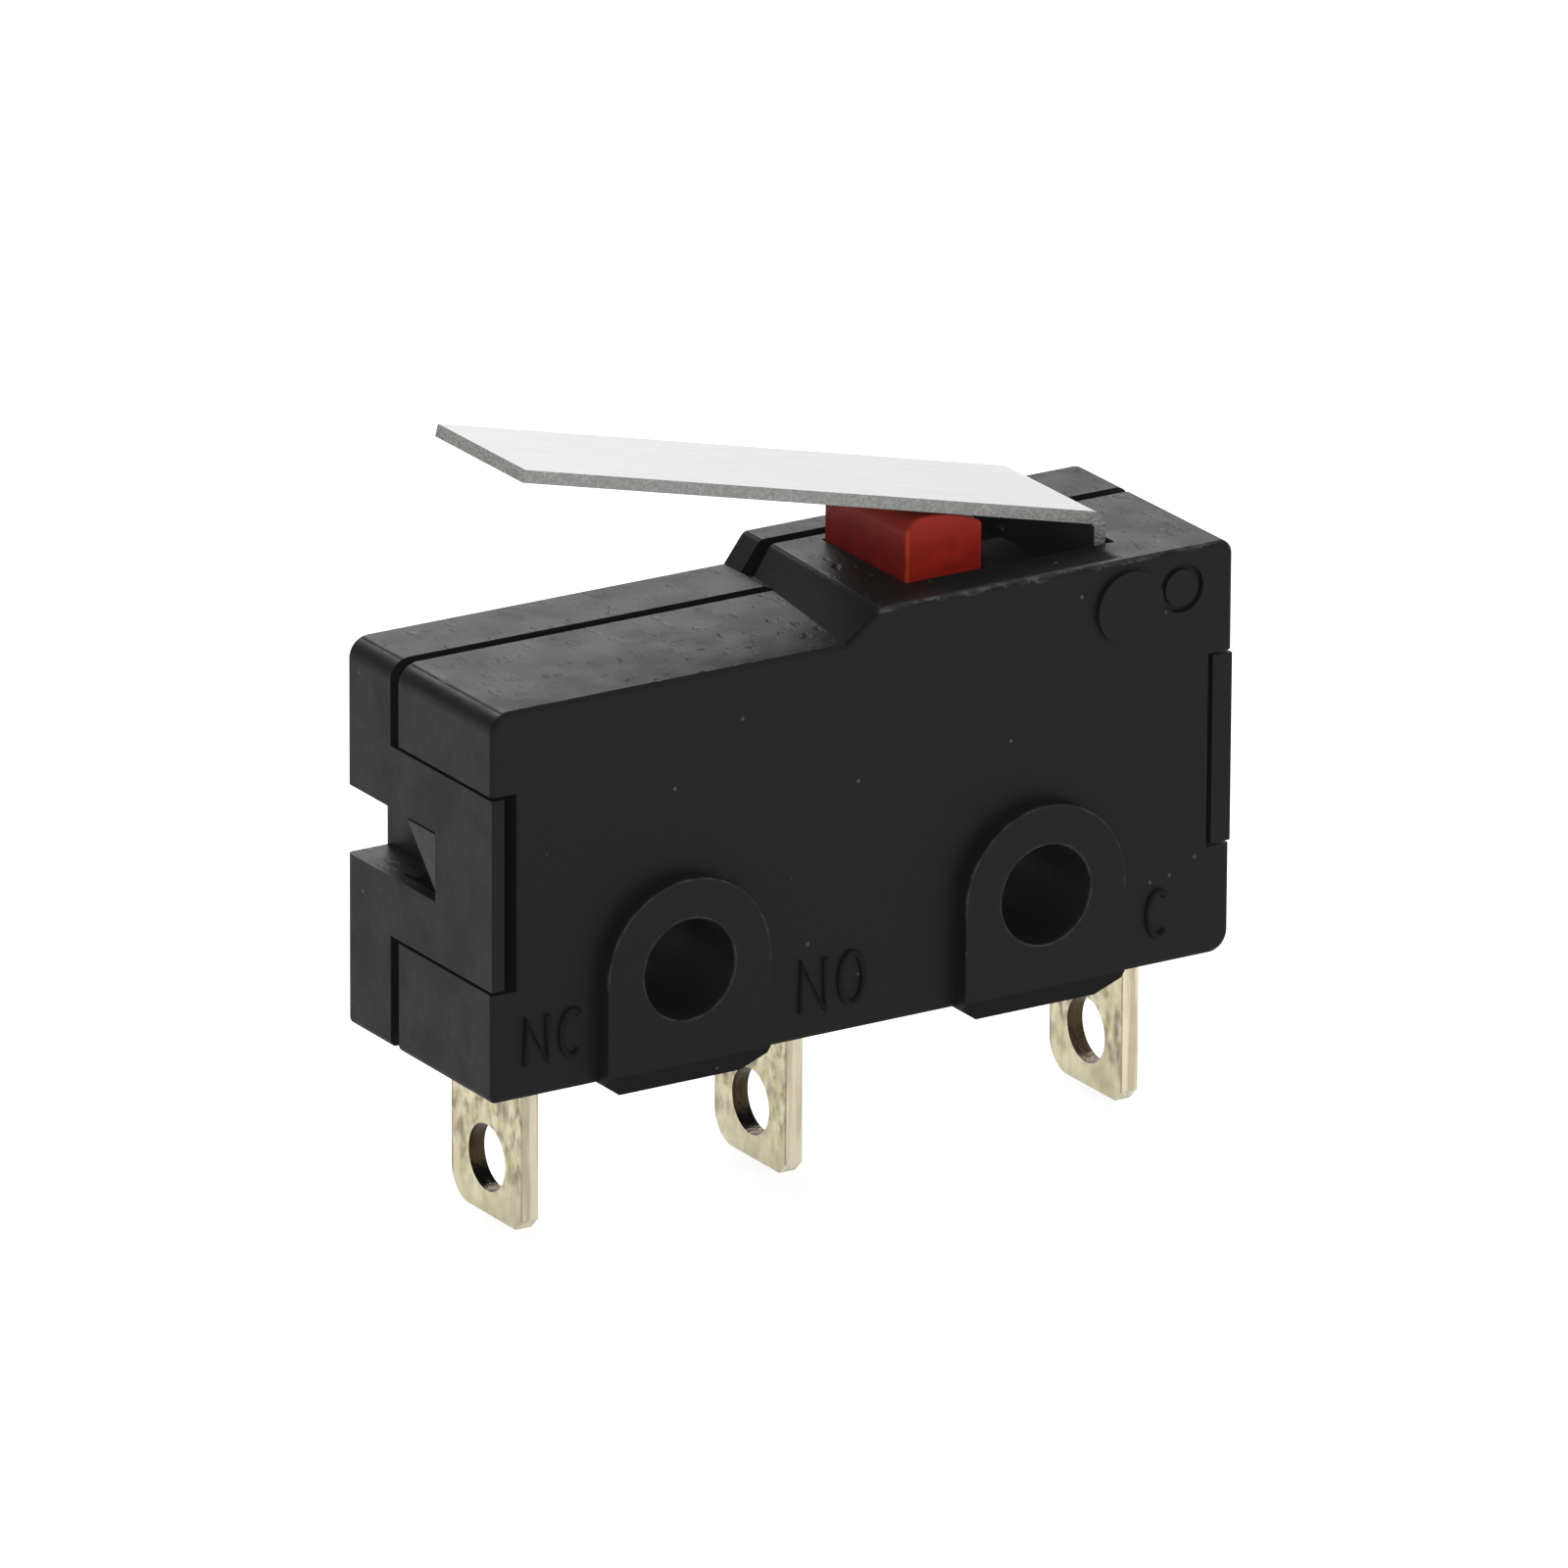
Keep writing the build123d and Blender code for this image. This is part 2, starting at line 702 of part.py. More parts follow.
def make_spring():
    """The snap spring: a close coil with an upturned hook at each end."""
    lift = (arm_edge_x - hook_hole_x) * math.tan(math.radians(arm_rest_angle()))
    start = Vector(hook_hole_x, 0, arm_edge_z + lift)
    finish = Vector(rocker_hook_x, 0, rocker_hook_z)
    length = (finish - start).length
    coil_length = length - 2 * spring_inset
    coil = Helix(coil_length / spring_turns, coil_length, spring_radius)
    first_bend = coil @ 0 - (coil % 0) * spring_lead
    last_bend = coil @ 1 + (coil % 1) * spring_lead
    first_hook = FilletPolyline(
        (-spring_hook_drop, 0, -spring_inset),
        (spring_radius, 0, -spring_inset),
        first_bend,
        coil @ 0,
        radius=spring_bend,
    )
    last_hook = FilletPolyline(
        coil @ 1,
        last_bend,
        (spring_radius, 0, coil_length + spring_inset),
        (-spring_hook_drop, 0, coil_length + spring_inset),
        radius=spring_bend,
    )
    line = Wire([*first_hook.edges(), *coil.edges(), *last_hook.edges()])
    section = RegularPolygon(spring_wire / 2, spring_wire_sides)
    wire = sweep(Plane(line @ 0, z_dir=line % 0) * section, path=line)
    along_x = Plane((spring_inset, 0, 0), x_dir=(0, 0, 1), z_dir=(1, 0, 0)).location
    tilt = math.degrees(math.atan2(finish.Z - start.Z, finish.X - start.X))
    return Pos(start) * Rot(0, -tilt, 0) * along_x * wire


def main():
    """Build every piece and write it to its own file."""
    pieces = {
        "front_housing": make_front_housing(),
        "rear_cover": make_rear_cover(),
        "plunger": make_plunger(),
        "lever": make_lever(),
        "common_terminal": make_common_terminal(),
        "normally_open_terminal": shelf_terminal(no_x, no_shelf_z, contact_x - shelf_lip),
        "normally_closed_terminal": shelf_terminal(nc_x, nc_shelf_z, contact_x + shelf_lip),
        "upper_contact": fixed_contact(upper_shelf_face, -1),
        "lower_contact": fixed_contact(lower_shelf_face, 1),
        "contact_arm": make_contact_arm(),
        "moving_contact": make_moving_contact(),
        "rocker": make_rocker(),
        "snap_spring": make_spring(),
    }
    os.makedirs("parts", exist_ok=True)
    for name, solid in pieces.items():
        solids = solid.solids()
        whole = solids[0] if len(solids) == 1 else Compound(children=list(solids))
        export_step(whole, f"parts/{name}.step")
        box = whole.bounding_box()
        print(name, len(solids), round(whole.volume, 3), [round(v, 2) for v in (*box.min, *box.max)])


main()
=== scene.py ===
# %% [markdown]
# The part is a small snap-action switch: a black moulded case about 20 mm long, a red plunger, a bright
# steel strip lever and three pale gold terminals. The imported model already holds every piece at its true
# size and place, so this lesson gives each piece its finish and adds only two small things: flat caps on
# the latch lugs, and the moulded contact marks. Loading the frame comes first, because everything that
# follows is placed from its boxes. A box is a piece's lowest and highest corner, in metres.

# %% Load the frame
import math
import bmesh
import bpy
from mathutils import Matrix, Vector


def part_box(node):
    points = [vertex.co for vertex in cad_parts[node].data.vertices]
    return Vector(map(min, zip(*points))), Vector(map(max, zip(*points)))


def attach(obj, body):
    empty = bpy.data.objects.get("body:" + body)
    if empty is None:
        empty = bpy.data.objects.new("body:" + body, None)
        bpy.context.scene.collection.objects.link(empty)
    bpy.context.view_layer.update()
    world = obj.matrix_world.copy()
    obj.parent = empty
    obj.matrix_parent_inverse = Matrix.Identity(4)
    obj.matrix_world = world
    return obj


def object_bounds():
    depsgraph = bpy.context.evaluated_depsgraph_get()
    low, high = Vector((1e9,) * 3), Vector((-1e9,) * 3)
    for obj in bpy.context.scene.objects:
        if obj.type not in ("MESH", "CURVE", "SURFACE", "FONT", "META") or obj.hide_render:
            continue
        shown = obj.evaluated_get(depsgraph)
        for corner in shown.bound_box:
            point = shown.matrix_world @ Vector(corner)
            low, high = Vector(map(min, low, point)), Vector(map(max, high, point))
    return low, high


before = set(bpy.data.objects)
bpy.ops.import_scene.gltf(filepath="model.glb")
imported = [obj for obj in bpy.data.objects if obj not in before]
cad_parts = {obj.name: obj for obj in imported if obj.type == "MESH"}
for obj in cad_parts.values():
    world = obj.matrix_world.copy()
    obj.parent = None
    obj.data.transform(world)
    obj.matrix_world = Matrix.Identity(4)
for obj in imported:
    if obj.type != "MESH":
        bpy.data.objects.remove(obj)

cad_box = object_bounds()
MM = 0.001
print("nodes:", sorted(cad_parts))

# %% [markdown]
# The photograph was taken from the left and a little above with a long lens, so the edges run almost
# parallel. A camera can be placed by eye, or worked out from a few known lengths. Here the two mounting
# holes, 9.5 mm apart, and the corners of the case fix it: the angles, the distance and the lens below come
# from that fit.

# %% Camera
AZIMUTH = math.radians(-32.01)
ELEVATION = math.radians(19.61)
ROLL = math.radians(0.30)
DISTANCE = 445.0 * MM
LENS = 450.0
SENSOR_WIDTH = 36.0
NEAREST = 1 * MM
AIM = Vector((0.072, 0.201, 2.381)) * MM


def add_camera():
    """A long-lens camera that looks at the aim point from the photograph's direction."""
    back = Vector((
        math.sin(AZIMUTH) * math.cos(ELEVATION),
        -math.cos(AZIMUTH) * math.cos(ELEVATION),
        math.sin(ELEVATION),
    ))
    right = Vector((math.cos(AZIMUTH), math.sin(AZIMUTH), 0))
    up = back.cross(right)
    turned_right = right * math.cos(ROLL) + up * math.sin(ROLL)
    turned_up = up * math.cos(ROLL) - right * math.sin(ROLL)
    place = Matrix((turned_right, turned_up, back)).transposed().to_4x4()
    place.translation = AIM + back * DISTANCE
    data = bpy.data.cameras.new("view_camera")
    data.lens = LENS
    data.sensor_width = SENSOR_WIDTH
    data.clip_start = NEAREST
    camera = bpy.data.objects.new("view_camera", data)
    bpy.context.scene.collection.objects.link(camera)
    camera.matrix_world = place
    bpy.context.scene.camera = camera
    return camera


camera = add_camera()
print("camera at", [round(v, 4) for v in camera.matrix_world.translation])

# %% [markdown]
# Product photos of small black parts use a lit white table under very soft light, so the table stays pure
# white even under the part. A plain floor would go grey there, so this one gives off most of its light
# itself. One could ring the part with lamps. A sky does the same with less, and it needn't be even: the
# slope and the rounded left corner of the case mirror the sky behind on the left, and they are nearly as
# dark as the front, so the sky is dimmer on that side. One large weak lamp from above and behind gives the
# tops their sheen. Last, no lens keeps its blacks quite black beside so much white, so the view's black
# level is lifted by a trace.

# %% Studio
FLOOR_SIZE = 4.0
FLOOR_GREY, FLOOR_ROUGHNESS, FLOOR_SHINE = 0.3, 0.9, 0.1
FLOOR_GLOW = 0.85
SKY_BRIGHT = 1.0
SKY_DIM = 0.3
DIM_SIDE = Vector((-0.75, 0.55, 0.37)).normalized()
DIM_FROM, DIM_TO = math.cos(math.radians(75)), math.cos(math.radians(26))
TOP_LAMP = {"place": (0.06, 0.20, 0.24), "size": 0.25, "power": 1.45}
LENS_HAZE = 0.004


def add_floor():
    """A plain pale floor under the terminals' tips, lit from within like a light table."""
    mesh = bpy.data.meshes.new("floor")
    half = FLOOR_SIZE / 2
    level = cad_box[0][2]
    corners = [(-half, -half, level), (half, -half, level), (half, half, level), (-half, half, level)]
    mesh.from_pydata(corners, [], [(0, 1, 2, 3)])
    floor = bpy.data.objects.new("floor", mesh)
    bpy.context.scene.collection.objects.link(floor)
    material = bpy.data.materials.new("pale_floor")
    material.use_nodes = True
    shader = material.node_tree.nodes["Principled BSDF"]
    shader.inputs["Base Color"].default_value = (FLOOR_GREY, FLOOR_GREY, FLOOR_GREY, 1)
    shader.inputs["Roughness"].default_value = FLOOR_ROUGHNESS
    shader.inputs["Specular IOR Level"].default_value = FLOOR_SHINE
    shader.inputs["Emission Color"].default_value = (1, 1, 1, 1)
    shader.inputs["Emission Strength"].default_value = FLOOR_GLOW
    mesh.materials.append(material)


def add_area(name, place, size, power):
    """A square soft lamp that faces the part."""
    data = bpy.data.lights.new(name, "AREA")
    data.shape = "SQUARE"
    data.size = size
    data.energy = power
    lamp = bpy.data.objects.new(name, data)
    bpy.context.scene.collection.objects.link(lamp)
    lamp.location = place
    lamp.rotation_euler = (-Vector(place)).to_track_quat("-Z", "Y").to_euler()


def light_sky():
    """A white sky that is dimmer towards one side."""
    world = bpy.data.worlds.new("studio")
    bpy.context.scene.world = world
    world.use_nodes = True
    tree = world.node_tree
    direction = tree.nodes.new("ShaderNodeTexCoord")
    towards = tree.nodes.new("ShaderNodeVectorMath")
    towards.operation = "DOT_PRODUCT"
    towards.inputs[1].default_value = DIM_SIDE
    tree.links.new(direction.outputs["Generated"], towards.inputs[0])
    strength = tree.nodes.new("ShaderNodeMapRange")
    strength.interpolation_type = "SMOOTHSTEP"
    limits = {"From Min": DIM_FROM, "From Max": DIM_TO, "To Min": SKY_BRIGHT, "To Max": SKY_DIM}
    for name, value in limits.items():
        strength.inputs[name].default_value = value
    tree.links.new(towards.outputs["Value"], strength.inputs["Value"])
    background = tree.nodes["Background"]
    background.inputs["Color"].default_value = (1, 1, 1, 1)
    tree.links.new(strength.outputs["Result"], background.inputs["Strength"])


def set_view():
    """Plain colours, with the darkest tone lifted by the lens's haze."""
    view = bpy.context.scene.view_settings
    view.view_transform = "Standard"
    view.use_curve_mapping = True
    view.curve_mapping.black_level = (-LENS_HAZE,) * 3
    view.curve_mapping.update()


add_floor()
light_sky()
add_area("top_lamp", **TOP_LAMP)
set_view()
print("floor level", round(cad_box[0][2], 5), "lamp", TOP_LAMP)

# %% [markdown]
# Every finish below is a small network of nodes, and the same few moves come back in each: take the place
# on the surface in millimetres, make a pattern from it, squeeze the pattern into a mask, and let the mask
# mix two colours or press a bump. Writing each move once as a helper keeps the finishes short. The place is
# the object's own, in the frame of the part, so a pattern stays on its piece when the piece moves.

# %% Helpers for finishes
def add_node(tree, kind, **settings):
    """A shader node with its settings."""
    node = tree.nodes.new(kind)
    for name, value in settings.items():
        setattr(node, name, value)
    return node


def new_finish(name, color, roughness, metallic=0.0, specular=0.5):
    """A material with its plain values on the shader, and the place on the piece in millimetres."""
    material = bpy.data.materials.new(name)
    material.use_nodes = True
    tree = material.node_tree
    shader = tree.nodes["Principled BSDF"]
    shader.inputs["Base Color"].default_value = (*color, 1)
    shader.inputs["Roughness"].default_value = roughness
    shader.inputs["Metallic"].default_value = metallic
    shader.inputs["Specular IOR Level"].default_value = specular
    place = add_node(tree, "ShaderNodeTexCoord")
    in_mm = add_node(tree, "ShaderNodeVectorMath", operation="SCALE")
    in_mm.inputs["Scale"].default_value = 1 / MM
    tree.links.new(place.outputs["Object"], in_mm.inputs[0])
    return material, tree, shader, in_mm.outputs[0]


def math_node(tree, operation, first, second=0.0):
    """One sum on two values, each a socket or a number."""
    node = add_node(tree, "ShaderNodeMath", operation=operation)
    for index, value in enumerate((first, second)):
        if isinstance(value, (int, float)):
            node.inputs[index].default_value = value
        else:
            tree.links.new(value, node.inputs[index])
    return node.outputs[0]


def squeeze(tree, value, low, high, to_low=0.0, to_high=1.0):
    """A smooth step from one value to another as the input goes from low to high."""
    node = add_node(tree, "ShaderNodeMapRange", interpolation_type="SMOOTHSTEP")
    for name, number in (("From Min", low), ("From Max", high), ("To Min", to_low), ("To Max", to_high)):
        node.inputs[name].default_value = number
    tree.links.new(value, node.inputs["Value"])
    return node.outputs["Result"]


def fall(tree, value, low, high):
    """A mask that is 1 up to the low value and fades to 0 at the high one."""
    return squeeze(tree, value, low, high, 1.0, 0.0)


def noise(tree, place, scale, detail=3.0, stretch=(1, 1, 1)):
    """Cloudy noise, about one blotch in 1 / scale mm, drawn out along an axis by a small stretch value."""
    mapping = add_node(tree, "ShaderNodeMapping")
    mapping.inputs["Scale"].default_value = stretch
    tree.links.new(place, mapping.inputs["Vector"])
    node = add_node(tree, "ShaderNodeTexNoise")
    node.inputs["Scale"].default_value = scale
    node.inputs["Detail"].default_value = detail
    tree.links.new(mapping.outputs["Vector"], node.inputs["Vector"])
    return node.outputs["Fac"]


def mix(tree, mask, first, second):
    """From the first colour to the second as the mask goes to 1; each is a socket or three numbers."""
    node = add_node(tree, "ShaderNodeMix", data_type="RGBA")
    tree.links.new(mask, node.inputs[0])
    for index, color in ((6, first), (7, second)):
        if isinstance(color, tuple):
            node.inputs[index].default_value = (*color, 1)
        else:
            tree.links.new(color, node.inputs[index])
    return node.outputs[2]


def press(tree, shader, height, depth):
    """Bump from a height pattern, its depth in millimetres."""
    node = add_node(tree, "ShaderNodeBump")
    node.inputs["Strength"].default_value = 1.0
    node.inputs["Distance"].default_value = depth * MM
    tree.links.new(height, node.inputs["Height"])
    tree.links.new(node.outputs["Normal"], shader.inputs["Normal"])


def split(tree, vector):
    """The three parts of a vector."""
    node = add_node(tree, "ShaderNodeSeparateXYZ")
    tree.links.new(vector, node.inputs[0])
    return node.outputs[0], node.outputs[1], node.outputs[2]


def facing(tree):
    """The direction that the surface faces, in three parts."""
    return split(tree, add_node(tree, "ShaderNodeTexCoord").outputs["Normal"])


def dress(node, material):
    """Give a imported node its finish, without touching its mesh."""
    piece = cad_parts[node]
    piece.data.materials.clear()
    piece.data.materials.append(material)
    print(node, "wears", material.name)


print("helpers ready")

# %% [markdown]
# The case is moulded in black nylon filled with glass. Up close such a face is nearly black, with a fine
# grain and shallow pits that dull its shine. At a flat angle the same face turns grey, which is why the top
# looks so much lighter than the front. That grey could be painted on as a second colour. A low specular
# level gives it by light alone: it keeps the front black while the flat angle still shines. The pits show
# only on the faces that look up, so the way the face points masks them.

# %% Black case plastic
WAVE_DEPTH = 0.012
GRAIN_SHARE = 0.22
PIT_SHARE = 2.0
PLASTIC_SHINE = 0.10


def grey(value):
    """A colour without a tint."""
    return (value, value, value)


def both(tree, first, second):
    """A mask that needs both of its masks."""
    return math_node(tree, "MULTIPLY", first, second)


def plain_plastic(name):
    """The moulded black face: its grain and pits, its clouds, and the colour that later masks start from."""
    material, tree, shader, place = new_finish(name, grey(0.005), roughness=0.44, specular=PLASTIC_SHINE)
    grain = noise(tree, place, scale=14.0, detail=4.0)
    waves = noise(tree, place, scale=1.9)
    pits = squeeze(tree, noise(tree, place, scale=3.6, detail=2.0, stretch=(1, 0.6, 1)), 0.22, 0.46)
    pits = both(tree, pits, squeeze(tree, facing(tree)[2], 0.90, 0.98))
    clouds = noise(tree, place, scale=0.9)
    color = mix(tree, clouds, grey(0.0035), grey(0.0065))
    height = math_node(tree, "ADD", math_node(tree, "MULTIPLY", grain, GRAIN_SHARE), waves)
    height = math_node(tree, "ADD", height, math_node(tree, "MULTIPLY", pits, PIT_SHARE))
    press(tree, shader, height, WAVE_DEPTH)
    return material, tree, shader, place, clouds, color


print("black plastic with bumps", WAVE_DEPTH, "mm deep")

# %% [markdown]
# Flash is the thin skin that squeezes out where the mould halves meet. It runs in a wavy line along the
# front's top edge, and finer still round the pads and holes, and it catches the light. It could be modelled
# as slivers, but it is no wider than a hair, so a pale mask along those edges is enough: the pale lines are
# painted highlights on the flash and on the edges of the pads and holes. One noise moves the line up and
# down, and another breaks it into stronger and fainter dashes.

# %% Flash lines, painted as highlights
CASE_LOW, CASE_HIGH = (Vector(corner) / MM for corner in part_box("front_housing"))
FRONT_FACE_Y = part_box("rear_cover")[0][1] / MM
FLASH_HIGHLIGHT_REACH = 0.09
FLASH_HIGHLIGHT_WAVE = 0.5
FAINTEST_FLASH_HIGHLIGHT = 0.2
RING_SHARE = 0.4
PAD_RADIUS, HOLE_RADIUS, HOLE_PITCH = 2.15, 1.2, 9.5
FRONT_EDGE = {"full": 0.06, "gone": 0.16}
PAD_LINE = {"full": 0.02, "gone": 0.07}
HOLE_LINE = {"full": 0.02, "gone": 0.06}
PAD_FACE = {"full": 0.04, "gone": 0.12}
ARCH_FADE = 0.3


def near(tree, value, middle, full, gone):
    """A mask that is 1 within one distance of a level and fades to 0 at another."""
    away = math_node(tree, "ABSOLUTE", math_node(tree, "SUBTRACT", value, middle))
    return fall(tree, away, full, gone)


def either(tree, first, second):
    """The stronger of two masks."""
    return math_node(tree, "MAXIMUM", first, second)


def distance(tree, across, up):
    """How far a place is from a middle, from its steps across and up."""
    squares = [math_node(tree, "MULTIPLY", step, step) for step in (across, up)]
    return math_node(tree, "SQRT", math_node(tree, "ADD", *squares))


def flash_highlight_mask(tree, place):
    """Painted highlights: wavy lines along the top front edge, and thin ones round the pads and the holes.
    """
    x, y, z = split(tree, place)
    wave = math_node(tree, "MULTIPLY", noise(tree, place, scale=1.7, detail=5.0), FLASH_HIGHLIGHT_WAVE)
    drop = math_node(tree, "SUBTRACT", CASE_HIGH.z + FLASH_HIGHLIGHT_WAVE / 2, z)
    drop = math_node(tree, "SUBTRACT", drop, wave)
    along_top = fall(tree, drop, FLASH_HIGHLIGHT_REACH / 2, FLASH_HIGHLIGHT_REACH)
    along_top = both(tree, along_top, near(tree, y, FRONT_FACE_Y, **FRONT_EDGE))
    across = math_node(tree, "SUBTRACT", math_node(tree, "ABSOLUTE", x), HOLE_PITCH / 2)
    away = distance(tree, across, z)
    pad_arch = both(tree, near(tree, away, PAD_RADIUS, **PAD_LINE), squeeze(tree, z, -ARCH_FADE, 0.0))
    rings = either(tree, pad_arch, near(tree, away, HOLE_RADIUS, **HOLE_LINE))
    rings = both(tree, rings, near(tree, y, CASE_LOW.y, **PAD_FACE))
    lines = either(tree, along_top, math_node(tree, "MULTIPLY", rings, RING_SHARE))
    broken = squeeze(tree, noise(tree, place, scale=2.2, detail=4.0), 0.40, 0.62)
    return both(tree, lines, squeeze(tree, broken, 0.0, 1.0, to_low=FAINTEST_FLASH_HIGHLIGHT, to_high=1.0))


print("case from", [round(v, 2) for v in CASE_LOW], "to", [round(v, 2) for v in CASE_HIGH])

# %% [markdown]
# Some places of the case hardly shine, and their colour is darkened as painted shade. The dip under the
# lever, round the plunger, is matt and carries a painted shadow of the lever, and the slope beside it is
# dull and carries painted shade too. What faces down is matt and darkened with painted shade. A second
# material would need the mesh cut along those borders. A mask from the place and from the way the face
# points does the same and fades softly, so it is used here.

# %% Matt places and painted shade
DIP_AHEAD, DIP_DEEP, DIP_SOFT, DIP_FLOOR_FADE = 0.1, 1.1, 0.5, 0.2
RIM_START, RIM_END = 0.13, 0.25
SLOPE_FOOT, SLOPE_TOP, SLOPE_FADE, SLOPE_DULL_AND_SHADE = -0.4, 0.8, 0.1, 0.66


def dip_shadow_mask(tree, place):
    """The dip in the top that the lever covers, from the plunger to the lever's leg, where the lever's
    shadow is painted.
    """
    x, y, z = split(tree, place)
    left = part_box("plunger")[0][0] / MM + DIP_AHEAD
    right, rear = (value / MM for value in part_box("lever")[1][:2])
    bottom = CASE_HIGH.z - DIP_DEEP
    start = squeeze(tree, x, left, left + 2 * DIP_SOFT)
    stop = fall(tree, x, right - DIP_SOFT, right)
    level = squeeze(tree, z, bottom - DIP_FLOOR_FADE, bottom)
    behind_rim = squeeze(tree, y, FRONT_FACE_Y + RIM_START, FRONT_FACE_Y + RIM_END)
    under_lever = fall(tree, y, rear - DIP_SOFT, rear)
    return both(tree, both(tree, start, stop), both(tree, level, both(tree, behind_rim, under_lever)))


def slope_shade_mask(tree, place):
    """The slope between the low and the high top, which faces the left end, where shade is painted in part.
    """
    x = split(tree, place)[0]
    start = squeeze(tree, x, SLOPE_FOOT - SLOPE_FADE, SLOPE_FOOT)
    stop = fall(tree, x, SLOPE_TOP, SLOPE_TOP + SLOPE_FADE)
    return both(tree, both(tree, start, stop), fall(tree, facing(tree)[0], -0.5, -0.3))


def matt_and_shade_mask(tree, place):
    """All that hardly shines and is darkened with painted shade: the dip, the faces that look down, and the
    slope in part.
    """
    downward = fall(tree, facing(tree)[2], -0.6, -0.3)
    slope = math_node(tree, "MULTIPLY", slope_shade_mask(tree, place), SLOPE_DULL_AND_SHADE)
    return either(tree, either(tree, dip_shadow_mask(tree, place), downward), slope)


print("dip", DIP_DEEP, "mm deep, slope from x", SLOPE_FOOT, "to", SLOPE_TOP)

# %% [markdown]
# Now the case's finish is put together: the plain plastic, darkened with painted shade at the matt places,
# with the flash lines' painted highlights and a few pale specks of dust on top. Dust could be scattered as
# tiny meshes. A cell pattern gives it with one node: each cell of space holds one point, and a speck shows
# where a point meets the surface.

# %% Dust and the whole case
DUST_PER_MM, DUST_RADIUS = 1.0, 0.06
PAINTED_SHADE_BLACK, PALE_GREY = grey(0.002), grey(0.055)
MATT_ROUGHNESS = 0.95


def specks(tree, place, per_mm, radius):
    """A mask of small round dots: one point in each cell of space, shown where it meets the surface."""
    node = add_node(tree, "ShaderNodeTexVoronoi")
    node.inputs["Scale"].default_value = per_mm
    tree.links.new(place, node.inputs["Vector"])
    return fall(tree, node.outputs["Distance"], 0.5 * radius * per_mm, radius * per_mm)


def case_finish():
    """The black case with its matt places, flash and dust."""
    material, tree, shader, place, clouds, color = plain_plastic("case_plastic")
    matt_and_shade = matt_and_shade_mask(tree, place)
    # The matt places are darkened to a painted shade: the lever's shadow in the dip, the slope and the faces
    # that look down.
    color = mix(tree, matt_and_shade, color, PAINTED_SHADE_BLACK)
    # The flash lines are painted pale: a painted highlight where the flash and the edges catch the light.
    color = mix(tree, flash_highlight_mask(tree, place), color, PALE_GREY)
    color = mix(tree, specks(tree, place, DUST_PER_MM, DUST_RADIUS), color, PALE_GREY)
    tree.links.new(color, shader.inputs["Base Color"])
    shine = squeeze(tree, clouds, 0.3, 0.7, to_low=0.38, to_high=0.50)
    roughness = either(tree, shine, math_node(tree, "MULTIPLY", matt_and_shade, MATT_ROUGHNESS))
    tree.links.new(roughness, shader.inputs["Roughness"])
    return material


case_plastic = case_finish()
for node in ("front_housing", "rear_cover"):
    dress(node, case_plastic)

# %% [markdown]
# In the notch at each end of the case, the cover's arm is caught behind a lug of the housing. The packed
# model has the lug as a ramp, but in the photograph its outer face is flat and shows as a light triangle.
# The whole housing could be replaced for this, but a flat cap over the ramp is enough. It is a triangle
# pushed out to a prism, with its edges rounded by a bevel, and its root is sunk into the floor of the
# notch, so no edge of it hangs free. The cap has a paler colour than the case: painted light for its face,
# which catches the light and shows as a light triangle.

# %% Flat caps on the latch lugs
LUG_FRONT, LUG_REAR = -0.64, 0.76
LUG_LOW, LUG_HIGH = 1.71, 3.24
LUG_FACE, LUG_DEEP = 0.08, 1.15
LUG_ROUND, LUG_ROUND_STEPS = 0.05, 3
LEFT_END, RIGHT_END = (corner[0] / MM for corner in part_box("rear_cover"))


def cloudy_plastic(name, roughness, dark, plain, pale):
    """The case's plastic with faint clouds from a dark grey to a pale one."""
    material, tree, shader, place = new_finish(name, grey(plain), roughness, specular=PLASTIC_SHINE)
    clouds = noise(tree, place, scale=3.0)
    tree.links.new(mix(tree, clouds, grey(dark), grey(pale)), shader.inputs["Base Color"])
    press(tree, shader, clouds, depth=0.02)
    return material


def add_lug_cap(name, end_x, inward, material):
    """A triangular prism in the notch at one end; inward is the sign of the way into the case."""
    corners = [(LUG_FRONT, LUG_LOW), (LUG_FRONT, LUG_HIGH), (LUG_REAR, LUG_HIGH)]
    points = []
    for depth in (LUG_FACE, LUG_DEEP):
        points += [((end_x + inward * depth) * MM, y * MM, z * MM) for y, z in corners]
    faces = [(0, 1, 2), (3, 5, 4), (0, 3, 4, 1), (1, 4, 5, 2), (2, 5, 3, 0)]
    mesh = bpy.data.meshes.new(name)
    mesh.from_pydata(points, [], faces)
    prism = bmesh.new()
    prism.from_mesh(mesh)
    bmesh.ops.recalc_face_normals(prism, faces=prism.faces)
    bmesh.ops.bevel(
        prism, geom=prism.edges[:], offset=LUG_ROUND * MM, segments=LUG_ROUND_STEPS, affect="EDGES",
    )
    prism.to_mesh(mesh)
    prism.free()
    cap = bpy.data.objects.new(name, mesh)
    bpy.context.scene.collection.objects.link(cap)
    mesh.materials.append(material)
    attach(cap, "case")
    print(name, "face at", round(end_x + inward * LUG_FACE, 2), "with", len(mesh.polygons), "faces")


# The cap's paler colour is painted light on the lug's face, which catches the light.
painted_light_plastic = cloudy_plastic("painted_light_plastic", roughness=0.4, dark=0.020, plain=0.03, pale=0.045)
add_lug_cap("latch_cap_left", LEFT_END, 1, painted_light_plastic)
add_lug_cap("latch_cap_right", RIGHT_END, -1, painted_light_plastic)

